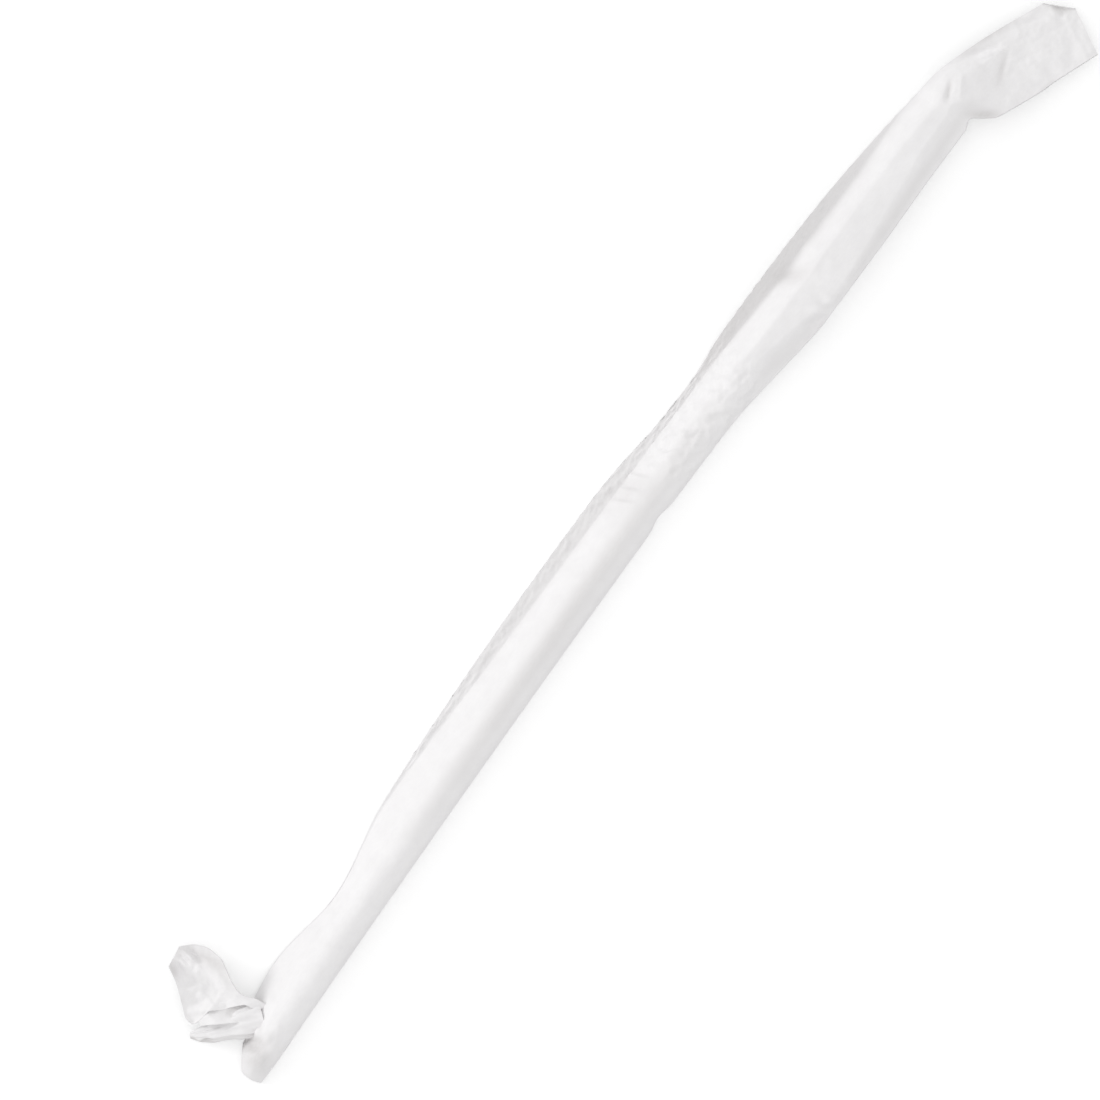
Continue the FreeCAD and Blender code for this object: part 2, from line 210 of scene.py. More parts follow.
# %% [markdown]
# ## The flat panel
#
# Beyond the waist the paper stands off the straw. It hangs as a nearly level panel between the
# two seams, which are lifted off the table there, and falls to each of them over a few
# millimetres. An edge that runs aslant over the straw parts the panel from the tight paper.

# %% Where the panel is and how high it lies
PANEL_LEVEL = 5.66
PANEL_CROWN = 0.3
PANEL_EDGE_START = 135.0
PANEL_EDGE_ACROSS = 1.2
PANEL_EDGE_SLOPE = 0.29


def panel_share(along, across):
    """How far the paper stands off the straw as a flat panel, from 0 to 1."""
    edge = PANEL_EDGE_ACROSS - PANEL_EDGE_SLOPE * (along - PANEL_EDGE_START) - bowed(along)
    return ease(132.0, 144.0, along) * ease(-1.3, 0.9, across - edge)


def panel_up(along, across, near_tip, far_crease):
    """The height of the flat panel at a place, falling to the seam at either side."""
    level = PANEL_LEVEL - 0.010 * (across - PANEL_CROWN) ** 2
    near_fall = 1.1 + 3.0 * ease(152.0, 188.0, along)
    rise = ease(-0.15, near_fall, across - near_tip[0])
    level = near_tip[1] + (level - near_tip[1]) * rise
    return far_crease[1] + (level - far_crease[1]) * ease(-0.2, 3.8, far_crease[0] - across)


print("share of the panel over the straw at 160 mm:", panel_share(160.0, 0.0))

# %% One ring of tight paper
def tight_ring(along):
    """The ring's points as (across, up), from the far tip over the straw and back under it."""
    far_reach, far_strip, far_up, near_reach, near_strip, near_up = smooth_row(
        SECTIONS, along / STRAW_LENGTH
    )
    far_tip = (SKIN + far_reach, far_up + TWO_PLIES)
    near_tip = (-SKIN - near_reach, near_up + TWO_PLIES)
    far_crease = (far_tip[0] - far_strip, far_tip[1])
    near_crease = (near_tip[0] + near_strip, near_tip[1])
    far_over = touch_angle(*far_crease, 1.0)
    near_over = touch_angle(*near_crease, -1.0)
    if near_over < 0.0:
        near_over += 2.0 * math.pi
    near_under = touch_angle(near_tip[0], near_up, 1.0) % (2.0 * math.pi)
    far_under = touch_angle(far_tip[0], far_up, -1.0) % (2.0 * math.pi)
    ring = run_of(far_tip, far_crease, UPPER["far_strip"])
    ring += run_of(far_crease, on_skin(far_over), UPPER["far_slope"])
    ring += arc_of(far_over, near_over, UPPER["over"])
    ring += run_of(on_skin(near_over), near_crease, UPPER["near_slope"])
    ring += run_of(near_crease, near_tip, UPPER["near_strip"])
    ring += run_of((near_tip[0], near_up), on_skin(near_under), LOWER["near_under"])
    ring += arc_of(near_under, far_under, LOWER["under"])
    ring += run_of(on_skin(far_under), (far_tip[0], far_up), LOWER["far_under"])
    panel = [panel_up(along, across, near_tip, far_crease) for across, _ in ring[: UPPER_COUNT + 1]]
    share = [panel_share(along, across) for across, _ in ring[: UPPER_COUNT + 1]]
    for number in range(UPPER["far_strip"], UPPER_COUNT):
        across, up = ring[number]
        ring[number] = (across, up + (panel[number] - up) * share[number])
    return [(across, max(0.0, up)) for across, up in ring]


print("far tip of one ring:", [round(v, 2) for v in tight_ring(90.0)[0]])

# %% [markdown]
# ## Folds and marks
#
# Handling leaves folds in the paper. Each is given as a line in plan, from one place to another,
# with its width and its height, and a groove has a height below nothing. All of them are summed
# into one height, and soft noise adds the gentle waves that no line describes. Two broad hollows
# under the root of the roll stand in a list of their own, because they sink straight down instead
# of pushing the paper inward.

# %% How near a point is to a fold
FOLD_AT_ENDS = 0.35
FOLD_WIDTHS_FELT = 3.0


def nearness(spot, fold):
    """1 on the fold's line, falling softly to 0 over its width and past its ends."""
    start, end, width = Vector(fold[0:2]), Vector(fold[2:4]), fold[4]
    run = end - start
    part = (spot - start).dot(run) / run.length_squared
    held = max(0.0, min(1.0, part))
    gap = (spot - (start + run * held)).length
    if gap > FOLD_WIDTHS_FELT * width:
        return 0.0
    strength = FOLD_AT_ENDS + (1.0 - FOLD_AT_ENDS) * math.sin(math.pi * held)
    return math.exp(-((gap / width) ** 2)) * strength


SLEEVE_FOLDS = [
    (106.6, 6.4, 108.6, 3.2, 0.50, 0.30),
    (108.9, 6.6, 110.6, 3.4, 0.50, 0.28),
    (110.9, 9.2, 113.0, 3.4, 0.55, 0.36),
    (114.2, 5.2, 115.6, 3.0, 0.50, 0.26),
    (107.8, 5.8, 109.4, 3.0, 0.45, -0.22),
    (110.0, 6.2, 111.6, 3.2, 0.45, -0.20),
    (112.6, 6.4, 114.2, 3.6, 0.50, -0.22),
    (118.0, 3.4, 119.8, 1.6, 0.55, 0.45),
    (119.4, 5.2, 123.4, 2.0, 0.60, 0.34),
    (122.6, 3.8, 127.4, -0.2, 0.55, -0.36),
    (124.6, 5.0, 128.0, 2.2, 0.65, 0.30),
    (127.0, 1.8, 131.0, -1.0, 0.60, 0.42),
    (129.6, 5.2, 131.4, 0.6, 0.70, 0.34),
    (132.8, 3.4, 137.4, -1.4, 0.80, -0.36),
    (135.0, 5.2, 139.0, 1.4, 1.00, 0.24),
    (151.3, -4.6, 150.2, -1.6, 0.50, 0.30),
    (153.0, -4.6, 153.4, -1.8, 0.55, 0.28),
    (149.6, -4.2, 147.4, -2.4, 0.70, -0.40),
    (152.1, -4.4, 151.8, -1.8, 0.35, -0.30),
    (151.2, 5.6, 155.8, 1.0, 1.40, -0.60),
    (157.0, 5.2, 159.6, 1.8, 1.20, 0.25),
    (172.0, 3.8, 178.0, 0.4, 1.40, -0.12),
    (166.0, 2.6, 171.0, -1.0, 1.60, 0.12),
    (9.2, 5.0, 5.8, 2.2, 0.50, -0.30),
    (5.9, 0.9, 4.4, -0.5, 0.50, 0.40),
    (106.0, 5.6, 114.0, 4.4, 1.60, -0.14),
]
ROOT_HOLLOWS = [(1.9, 3.8, 4.2, 0.5, 1.30, -2.40), (4.8, 3.2, 7.6, 4.6, 1.20, -0.90)]


def summed(spot, folds):
    """All the folds' heights at one spot in plan."""
    return sum(fold[5] * nearness(spot, fold) for fold in folds)


print("height on one wrinkle in mm:", round(summed(Vector((112.0, 6.1)), SLEEVE_FOLDS), 2))

# %% [markdown]
# ## The tail's own places
#
# The flat tail turns aside by 22 degrees and sinks by 5. Its places are counted along it from the
# straw's upper end and across it, and turned into the straw's places when the points are moved.

# %% From the tail's places to the straw's
TAIL_TURN = math.radians(22.0)
TAIL_SINK = math.tan(math.radians(5.0))
TAIL_HEIGHT = 3.2
TAIL_START = 188.0


def straw_to_tail(along, across):
    """A place given as along and across, as the tail's out and aside."""
    ahead = along - STRAW_LENGTH
    out = ahead * math.cos(TAIL_TURN) - across * math.sin(TAIL_TURN)
    return out, ahead * math.sin(TAIL_TURN) + across * math.cos(TAIL_TURN)


TAIL_ROOT = [across + bowed(TAIL_START) for across, _ in tight_ring(TAIL_START)]
TAIL_FAR = [
    (0.00, *straw_to_tail(TAIL_START, TAIL_ROOT[0])),
    (0.22, -4.4, 2.50),
    (0.50, 4.0, 2.85),
    (0.86, 14.4, 2.60),
    (1.00, 18.9, 2.30),
]
TAIL_NEAR = [
    (0.00, *straw_to_tail(TAIL_START, TAIL_ROOT[UPPER_COUNT])),
    (0.09, -5.10, -6.90),
    (0.17, -3.20, -8.00),
    (0.26, -1.00, -9.00),
    (0.55, 7.20, -9.25),
    (0.62, 9.20, -9.05),
    (1.00, 17.7, -9.00),
]


def tail_to_straw(out, aside):
    """A place on the tail, out from the straw's end and aside, as along and across."""
    along = STRAW_LENGTH + out * math.cos(TAIL_TURN) + aside * math.sin(TAIL_TURN)
    return along, aside * math.cos(TAIL_TURN) - out * math.sin(TAIL_TURN)


print("tail's near corner:", [round(v, 2) for v in tail_to_straw(17.7, -9.0)])

# %% The tail's folds
TAIL_FOLDS = [
    (5.8, -0.4, 0.2, 1.1, 0.40, 0.42),
    (5.5, -0.9, 0.4, -4.9, 0.60, -0.40),
    (6.4, -1.2, 2.0, -5.2, 0.60, 0.16),
    (4.4, 0.8, -0.4, 2.0, 0.55, -0.34),
    (9.0, 1.9, 12.8, 1.2, 0.70, -0.20),
    (-6.7, -2.4, -4.4, 0.1, 0.50, -0.75),
    (-4.7, -3.2, -2.7, -0.4, 0.35, 0.36),
    (-5.3, -4.7, -1.2, -8.1, 0.80, -1.00),
    (2.6, -7.4, 0.4, -8.6, 0.70, 0.30),
    (7.0, -7.8, 8.2, -9.2, 0.60, -0.25),
    (9.0, -4.0, 12.0, -6.0, 1.10, 0.18),
    (10.5, -1.0, 8.5, -3.4, 1.10, -0.18),
    (13.5, -6.8, 15.6, -4.2, 0.90, -0.18),
    (12.2, 1.6, 10.6, 2.5, 0.60, 0.25),
    (15.4, -1.6, 13.2, 0.6, 0.60, 0.22),
    (15.0, 1.4, 15.6, -0.2, 0.40, 0.30),
    (16.6, 0.0, 15.4, -1.0, 0.45, -0.30),
]
SEAL_LINE = (16.7, 0.6, 15.9, -8.8, 0.35, 0.10)


TENT_RISE = 2.15
TENT_BACK = -8.0


def tent_height(out, aside):
    """How far the paper stands above the tail where it comes down from the straw's end."""
    spread = 3.4 if aside > -0.5 else 1.18
    front = 5.6 - spread * abs(aside + 0.5)
    if front <= TENT_BACK:
        return 0.0
    return TENT_RISE * max(0.0, min(1.0, (front - out) / (front - TENT_BACK)))


print("tent above the tail at the straw's end:", round(tent_height(0.0, 0.0), 2))

# %% [markdown]
# ## A long tube of paper
#
# A tube needs no list of faces: one circle is extruded again and again, and every new ring copies
# the tags of the ring before it. The tags say which ring a point is in and how far round it is,
# and a second pass moves each point to the place that its tags call for. Extruding makes the
# faces in an order that changes from run to run, so they are sorted by their points' tags.

# %% Extrude a tagged tube
def paper_tube(rings, around):
    """A tube with its points tagged by ring and by place round the ring."""
    mesh = bmesh.new()
    ring_tag = mesh.verts.layers.int.new("ring")
    turn_tag = mesh.verts.layers.int.new("turn")
    first = bmesh.ops.create_circle(mesh, cap_ends=False, radius=1.0, segments=around)
    for number, vert in enumerate(first["verts"]):
        vert[turn_tag] = number
    edges = list(mesh.edges)
    for number in range(1, rings):
        made = bmesh.ops.extrude_edge_only(mesh, edges=edges)["geom"]
        new_verts = [part for part in made if isinstance(part, bmesh.types.BMVert)]
        for vert in new_verts:
            vert[ring_tag] = number
        bmesh.ops.translate(mesh, verts=new_verts, vec=(0.0, 0.0, 0.1))
        edges = [
            part
            for part in made
            if isinstance(part, bmesh.types.BMEdge)
            and all(vert[ring_tag] == number for vert in part.verts)
        ]

    def rank(face):
        """A number that no other face of the tube has."""
        places = [vert[ring_tag] * around + vert[turn_tag] for vert in face.verts]
        return float(min(places) * rings * around + max(places))

    mesh.faces.sort(key=rank)
    return mesh, ring_tag, turn_tag


trial, _, _ = paper_tube(4, 8)
print("a trial tube has", len(trial.verts), "points and", len(trial.faces), "faces")
trial.free()

# %% Finish a mesh as a piece
def finished_piece(name, mesh, closed=True):
    """Closes the ends, turns the faces outward, shades them smooth and makes the object."""
    if closed:
        bmesh.ops.holes_fill(mesh, edges=mesh.edges[:], sides=0)
    bmesh.ops.remove_doubles(mesh, verts=mesh.verts[:], dist=0.00001 * MM)
    bmesh.ops.recalc_face_normals(mesh, faces=mesh.faces[:])
    caps = [face for face in mesh.faces if len(face.verts) > 4]
    bmesh.ops.triangulate(mesh, faces=caps)
    for face in mesh.faces:
        face.smooth = True
    data = bpy.data.meshes.new(name)
    mesh.to_mesh(data)
    mesh.free()
    piece = bpy.data.objects.new(name, data)
    bpy.context.scene.collection.objects.link(piece)
    print(name, "faces:", len(data.polygons))
    return piece


# %% [markdown]
# ## Rings of the tail
#
# A tail ring runs from the far edge to the near edge of the flat paper. Near the straw it still
# has the sleeve's round shape, so the two shapes are blended over the first rings. The points
# past the fold line of the far corner are turned over it and gathered into a narrow crumpled
# strip, which is how the real corner lies.

# %% Turn the far corner over
FOLD_START = Vector((14.4, 2.75))
FOLD_END = Vector((18.7, -1.0))
FOLD_RADIUS = 0.06
FOLD_KEPT = 0.12
FOLD_CURL = 0.12


def corner_turned(out, aside, up):
    """Moves a point that lies past the fold line up and over onto the tail."""
    line = (FOLD_END - FOLD_START).normalized()
    outward = Vector((-line.y, line.x))
    if outward.x < 0.0:
        outward = -outward
    past = (Vector((out, aside)) - FOLD_START).dot(outward)
    if past <= 0.0:
        return out, aside, up
    angle = min(math.pi, past / FOLD_RADIUS)
    rest = max(0.0, past - math.pi * FOLD_RADIUS)
    shift = FOLD_RADIUS * math.sin(angle) - FOLD_KEPT * rest - past
    lift = (FOLD_RADIUS + 0.5 * TWO_PLIES) * (1.0 - math.cos(angle)) + up * math.cos(angle)
    curl = FOLD_CURL * noise.noise(Vector((out, aside, 4.0)) * 1.7)
    curl = max(0.0, curl) * ease(0.0, 0.8, rest)
    return out + outward.x * shift, aside + outward.y * shift, lift + curl


print("a corner point lands at", [round(v, 2) for v in corner_turned(18.9, 2.3, 0.0)])

# %% One ring of the tail
def tail_ring(part):
    """The ring's points as (along, across, up), part going from 0 at the straw to 1."""
    far_out, far_aside = smooth_row(TAIL_FAR, part)
    near_out, near_aside = smooth_row(TAIL_NEAR, part)
    root = tight_ring(TAIL_START)
    far_root, near_root = root[0][0], root[UPPER_COUNT][0]
    flatness = ease(0.0, 0.42, part)
    points = []
    for number, (across, up) in enumerate(root):
        share = (far_root - across) / (far_root - near_root)
        out = far_out + (near_out - far_out) * share
        aside = far_aside + (near_aside - far_aside) * share
        upper = number <= UPPER_COUNT
        spot = Vector((out, aside))
        waves = 0.20 * noise.noise(Vector((out * 0.45, aside * 0.45, 7.0)))
        waves += 0.10 * noise.noise(Vector((out * 1.3, aside * 1.3, 3.0)))
        relief = summed(spot, TAIL_FOLDS) + waves
        relief += summed(spot, [SEAL_LINE])
        sheet = TWO_PLIES * (1.0 - 0.5 * ease(0.25, 0.6, part)) if upper else 0.0
        tent = tent_height(out, aside) if upper else 0.0
        up += (1.0 - flatness) * relief * ease(0.0, 0.12, part) if upper else 0.0
        out, aside, local = corner_turned(out, aside, sheet + flatness * relief)
        ground = TAIL_HEIGHT - out * TAIL_SINK
        flat_up = ground + local + tent
        along, beside = tail_to_straw(out, aside)
        points.append((along, beside, up + (flat_up - up) * flatness))
    return points


print("a tail ring spans", round(tail_ring(0.6)[0][1] - tail_ring(0.6)[UPPER_COUNT][1], 1), "mm")

# %% [markdown]
# ## Rings of the low end
#
# At the low end the paper is pressed over the straw's rim into a blunt pocket, narrower than the
# straw and close to the table. These rings blend from the sleeve's first section to that slot.

# %% One ring of the pocket
POCKET_TIP = -1.5
POCKET_SIDES = (0.70, -2.85)
POCKET_FLOOR = 0.12
POCKET_THICK = 1.15
POCKET_BULGE = 0.35
POCKET_SLANT = 0.35
POCKET_CRUSH = 0.22


def pocket_ring(part):
    """The ring's points as (along, across, up), part going from 0 at the tip to 1."""
    start = STRAW_LENGTH * SECTIONS[0][0]
    root = tight_ring(start)
    far_root, near_root = root[0][0], root[UPPER_COUNT][0]
    points = []
    for number, (across, up) in enumerate(root):
        share = (far_root - across) / (far_root - near_root)
        slot_across = POCKET_SIDES[0] + (POCKET_SIDES[1] - POCKET_SIDES[0]) * share
        thick = POCKET_THICK * (1.0 - 0.6 * (2.0 * share - 1.0) ** 2)
        slot_up = POCKET_FLOOR + (thick if number <= UPPER_COUNT else 0.0)
        slot_along = POCKET_TIP - POCKET_BULGE * math.sin(math.pi * share) + POCKET_SLANT * share
        blend = ease(-0.25, 1.0, part) if part > 0.0 else 0.0
        crush = POCKET_CRUSH * noise.noise(Vector((slot_across * 1.2, part * 2.0, 11.0)))
        crush *= math.sin(math.pi * part)
        here = slot_along + (start - slot_along) * part
        there = slot_across + (across + bowed(start) - slot_across) * part ** 0.85
        crush += summed(Vector((here, there)), ROOT_HOLLOWS)
        least = TWO_PLIES if number <= UPPER_COUNT else 0.0
        points.append((here, there, max(least, slot_up + (up - slot_up) * blend + crush)))
    return points


print("pocket tip spans", [round(pocket_ring(0.0)[k][1], 2) for k in (0, UPPER_COUNT)], "mm")

# %% [markdown]
# ## The whole sleeve
#
# The rings stand 0.3 to 0.55 mm apart, closest where the paper is creased. Three kinds of ring
# follow one another: the pocket, the tight sleeve and the tail. The seam's strip gets its fine
# crimping here, and its outer edge lifts a little beyond the waist.

# %% Where the rings stand
POCKET_RINGS = 12
TAIL_RINGS = 110
CREASED_STEP = 0.30
CRIMPED_STEP = 0.38
PLAIN_STEP = 0.55


def ring_plan():
    """The kind and the place of every ring, from the low end to the tail's end."""
    plan = [("pocket", number / POCKET_RINGS) for number in range(POCKET_RINGS)]
    along = STRAW_LENGTH * SECTIONS[0][0]
    while along < TAIL_START:
        plan.append(("sleeve", along))
        creased = along < 12.0 or 104.0 < along < 138.0 or 146.0 < along < 158.0
        crimped = 60.0 < along < 146.0
        along += CREASED_STEP if creased else CRIMPED_STEP if crimped else PLAIN_STEP
    plan += [("tail", number / TAIL_RINGS) for number in range(TAIL_RINGS + 1)]
    return plan


RINGS = ring_plan()
print("rings:", len(RINGS), "points:", len(RINGS) * AROUND)

# %% Paper's small movements
def paper_waves(along, across):
    """The gentle unevenness of handled paper, as a height in mm."""
    slow = noise.noise(Vector((along * 0.10, across * 0.30, 1.0)))
    quick = noise.noise(Vector((along * 0.45, across * 0.60, 2.0)))
    crumpled = ease(112.0, 119.0, along) * (1.0 - ease(134.0, 141.0, along))
    crumpled += 0.5 * (1.0 - ease(5.0, 14.0, along))
    crush = noise.noise(Vector((along * 0.60 + across * 0.40, across * 0.85, 5.0)))
    crush += 0.5 * noise.noise(Vector((along * 1.1 - across * 0.5, across * 1.3, 6.0)))
    return 0.06 * slow + 0.045 * quick + 0.36 * crumpled * crush


def seam_crimp(along, share):
    """The fine waves of the pressed seam, strongest at its free edge."""
    reach = ease(40.0, 66.0, along) * (1.0 - ease(160.0, 182.0, along))
    fine = noise.noise(Vector((along * 1.3 + share * 2.6, share * 3.4, 8.0)))
    coarse = noise.noise(Vector((along * 0.6 - share * 1.2, share * 1.8, 9.0)))
    return reach * (1.0 - 0.5 * share) * (0.17 * fine + 0.15 * coarse)


print("crimp at one place:", round(seam_crimp(90.3, 0.1), 3))

# %% One ring of the sleeve with its folds
CRIMP_HEIGHT = 1.8
CRIMP_LEAST = -0.1
EDGE_WANDER = 0.10
EDGE_LIFT = 0.9
NICK = (109.2, 1.8, 0.12)


def sleeve_ring(along):
    """The ring's points as (along, across, up), with folds, waves and crimping."""
    flat = tight_ring(along)
    strip = UPPER["far_strip"]
    nick_place, nick_reach, nick_depth = NICK
    nick = 1.0 - nick_depth * math.exp(-(((along - nick_place) / nick_reach) ** 2))
    points = []
    for number, (across, up) in enumerate(flat):
        if 0 < number < UPPER_COUNT:
            before, after = flat[number - 1], flat[number + 1]
            outward = Vector((before[1] - after[1], after[0] - before[0]))
            outward = -outward.normalized() if outward.length > 0.0 else Vector((0.0, 1.0))
            spot = Vector((along, across + bowed(along)))
            held = 1.0 if strip < number < UPPER_COUNT - UPPER["near_strip"] else 0.4
            push = summed(spot, SLEEVE_FOLDS) + held * paper_waves(along, across)
            across += outward.x * push
            up += outward.y * push
        if across < 0.0:
            across *= nick
        if number < strip:
            lively = math.sin(math.pi * (0.03 + 0.97 * number / strip))
            up += max(CRIMP_LEAST, CRIMP_HEIGHT * lively * seam_crimp(along, number / strip))
            edge = noise.noise(Vector((along * 0.8, 0.0, 13.0)))
            across += EDGE_WANDER * edge * (1.0 - number / strip) * ease(30.0, 60.0, along)
        outer = max(0.0, (across - flat[strip][0]) / max(0.3, flat[0][0] - flat[strip][0]))
        lifted = ease(130.0, 146.0, along) * (1.0 - ease(168.0, 186.0, along))
        up += EDGE_LIFT * min(1.0, outer) * lifted
        up += summed(Vector((along, across + bowed(along))), ROOT_HOLLOWS)
        least = TWO_PLIES if number <= UPPER_COUNT else 0.0
        points.append((along, across + bowed(along), max(least, up)))
    return points


print("crown of one ring:", round(max(point[2] for point in sleeve_ring(50.0)), 2), "mm")

# %% [markdown]
# ## Where the paper is greyer
#
# Pressed, glued paper looks a little greyer than one layer, and the same grey is also painted in as
# shade. One table gives the grey of the far seam at places along the straw: partly the seam's own
# grey, partly painted shade where the strip turns from the lamp. The other lists lines in plan, as
# the folds are, each with a width and a grey: painted shade in creases, hollows and valleys and on
# faces turned from the lamp. The sum is kept in a tag at each point, and the paper reads it.

# %% How grey the sleeve is at a point
# Partly the glued seam's own grey, partly painted shade where the seam strip turns away from the
# lamp.
SEAM_GLUE_AND_SHADE_BEYOND = 12
SEAM_GLUE_AND_SHADE_GREY = [
    (44.0, 0.0),
    (70.0, 0.30),
    (94.0, 0.45),
    (112.0, 0.35),
    (126.0, 0.40),
    (138.0, 0.85),
    (158.0, 0.65),
    (170.0, 0.50),
    (184.0, 0.15),
    (190.0, 0.0),
]
# Painted shade: lines greyed where the real paper lies in shadow, in creases, hollows, valleys and
# on faces turned from the lamp.
PAINTED_SHADE_LINES = [
    (1.5, 3.6, 3.8, 0.5, 1.10, 0.90),
    (2.6, 3.4, 4.6, 0.6, 1.20, 0.90),
    (0.2, 1.6, 2.6, -1.2, 1.10, 0.50),
    (9.1, 5.0, 5.7, 2.2, 0.45, 1.00),
    (106.0, 5.4, 114.0, 3.8, 2.00, 0.45),
    (158.0, -4.0, 192.0, -3.2, 1.00, 0.45),
    (45.0, 0.9, 128.0, 1.6, 1.70, 0.72),
    (-1.2, -0.8, 4.5, -0.8, 2.00, 0.55),
    (136.0, -1.6, 149.0, -4.0, 0.90, 0.30),
    (151.0, 5.8, 155.2, 1.6, 1.20, 0.55),
    (190.0, 0.4, 192.8, 1.6, 0.42, 0.70),
    (190.2, -4.0, 193.0, -7.8, 0.75, 1.10),
    (197.2, 3.0, 207.4, -0.8, 0.90, 0.90),
    (201.4, -3.0, 196.4, -5.2, 0.55, 0.50),
    (211.8, -4.4, 213.2, -6.8, 0.80, 1.10),
    (200.2, -11.0, 202.4, -11.6, 0.40, 0.50),
]


def seam_and_painted_shade_share(kind, place, turn, spot):
    """How grey a point is, from 0 to 1: the seam's own grey and painted shade."""
    strip = UPPER["far_strip"]
    share = summed(spot, PAINTED_SHADE_LINES)
    if kind == "sleeve" and turn <= strip + SEAM_GLUE_AND_SHADE_BEYOND:
        half = SEAM_GLUE_AND_SHADE_BEYOND / 2.0
        beyond = half + half * ease(144.0, 160.0, place)
        share += smooth_row(SEAM_GLUE_AND_SHADE_GREY, place)[0] * (1.0 - ease(strip - 5, strip + beyond, turn))
    return min(1.0, share)


print("grey of the seam at 140 mm:", seam_and_painted_shade_share("sleeve", 140.0, 0, Vector((140.0, 8.0))))

# %% Make the sleeve
RING_MAKERS = {"pocket": pocket_ring, "sleeve": sleeve_ring, "tail": tail_ring}


def make_sleeve():
    """The whole sleeve as one closed piece."""
    mesh, ring_tag, turn_tag = paper_tube(len(RINGS), AROUND)
    plies_and_painted_shade = mesh.verts.layers.float.new("plies_and_painted_shade")
    placed = [RING_MAKERS[kind](place) for kind, place in RINGS]
    for vert in mesh.verts:
        kind, place = RINGS[vert[ring_tag]]
        turn = vert[turn_tag]
        along, across, up = placed[vert[ring_tag]][turn]
        # The tag holds the seam's own grey and painted shade in creases, hollows and on faces
        # turned from the lamp.
        vert[plies_and_painted_shade] = seam_and_painted_shade_share(kind, place, turn, Vector((along, across)))
        vert.co = in_frame(along, across, up)
    return finished_piece("sleeve", mesh)


sleeve = make_sleeve()
print("sleeve box in mm:", [round(1000 * side, 1) for side in sleeve.dimensions])

# %% [markdown]
# ## The leaf
#
# Beside the low end the crushed paper opens out into a thin cupped leaf. It is a single sheet, so
# it starts as a grid. Each grid point goes to a place between the leaf's left and right edge, and
# its height comes from the cupping, the folds and a little noise. A Solidify modifier gives it
# the thickness of paper.

# %% The leaf's edges and heights
LEAF_LEFT = [
    (0.00, 7.9, 4.4),
    (0.16, 7.6, 6.4),
    (0.28, 6.2, 7.9),
    (0.38, 4.6, 9.2),
    (0.45, 3.2, 10.7),
    (0.51, 1.6, 10.9),
    (0.57, 0.1, 11.6),
    (0.64, 0.2, 12.8),
    (0.74, 1.5, 14.5),
    (0.84, 3.0, 16.3),
    (0.92, 4.4, 18.2),
    (1.00, 5.4, 20.0),
]
LEAF_RIGHT = [
    (0.00, 9.6, 3.6),
    (0.16, 9.4, 5.6),
    (0.34, 8.6, 8.2),
    (0.43, 9.3, 10.3),
    (0.57, 10.5, 12.4),
    (0.68, 11.4, 14.2),
    (0.80, 11.5, 16.4),
    (0.90, 10.7, 18.6),
    (1.00, 8.9, 20.5),
]
LEAF_HEIGHTS = [
    (0.00, 2.9, 0.1, 0.1),
    (0.16, 3.4, 0.1, 0.1),
    (0.34, 3.2, 0.1, 0.5),
    (0.50, 2.6, 0.3, 1.1),
    (0.68, 2.1, 0.5, 1.5),
    (0.84, 1.7, 0.9, 1.6),
    (1.00, 1.4, 1.1, 1.1),
]
LEAF_FOLDS = [
    (8.9, 20.8, 8.2, 16.0, 0.42, 0.60),
    (8.0, 20.6, 7.4, 16.8, 0.45, -0.35),
    (9.8, 19.8, 9.2, 15.6, 0.55, -0.50),
    (4.2, 17.6, 6.0, 20.6, 0.55, 1.20),
    (5.4, 17.4, 7.0, 19.6, 0.60, -0.40),
    (10.4, 17.4, 10.8, 13.2, 0.70, 0.40),
    (9.4, 15.0, 8.2, 10.0, 0.80, 0.35),
    (7.8, 14.2, 6.6, 9.6, 0.80, -0.30),
    (3.6, 15.4, 6.4, 13.6, 0.60, 0.35),
    (2.4, 13.6, 5.2, 11.6, 0.60, -0.35),
    (2.0, 12.4, 4.8, 9.6, 0.60, 0.40),
    (5.8, 12.6, 5.4, 8.4, 0.70, -0.25),
    (6.2, 16.2, 9.2, 17.0, 0.60, -0.30),
]
print("leaf's width near its end:", LEAF_RIGHT[6][1] - LEAF_LEFT[8][1], "mm")

# %% Make a sheet between two edges
def paper_sheet(name, rows, columns, place, painted_shade_lines):
    """A grid whose points go where place(share across, part out) says, with paper's thickness."""
    mesh = bmesh.new()
    plies_and_painted_shade = mesh.verts.layers.float.new("plies_and_painted_shade")
    bmesh.ops.create_grid(mesh, x_segments=columns, y_segments=rows, size=0.5)
    for vert in mesh.verts:
        along, across, up = place(vert.co.x + 0.5, vert.co.y + 0.5)
        # The tag holds painted shade from the given lines.
        vert[plies_and_painted_shade] = min(1.0, summed(Vector((along, across)), painted_shade_lines))
        vert.co = in_frame(along, across, up)
    piece = finished_piece(name, mesh, closed=False)
    wall = piece.modifiers.new("paper", "SOLIDIFY")
    wall.thickness = PLY * MM
    wall.offset = 0.0
    return piece


print("a sheet's thickness in mm:", PLY)

# %% Make the leaf
LEAF_LEAST = 0.15
LEAF_MOST = 4.9


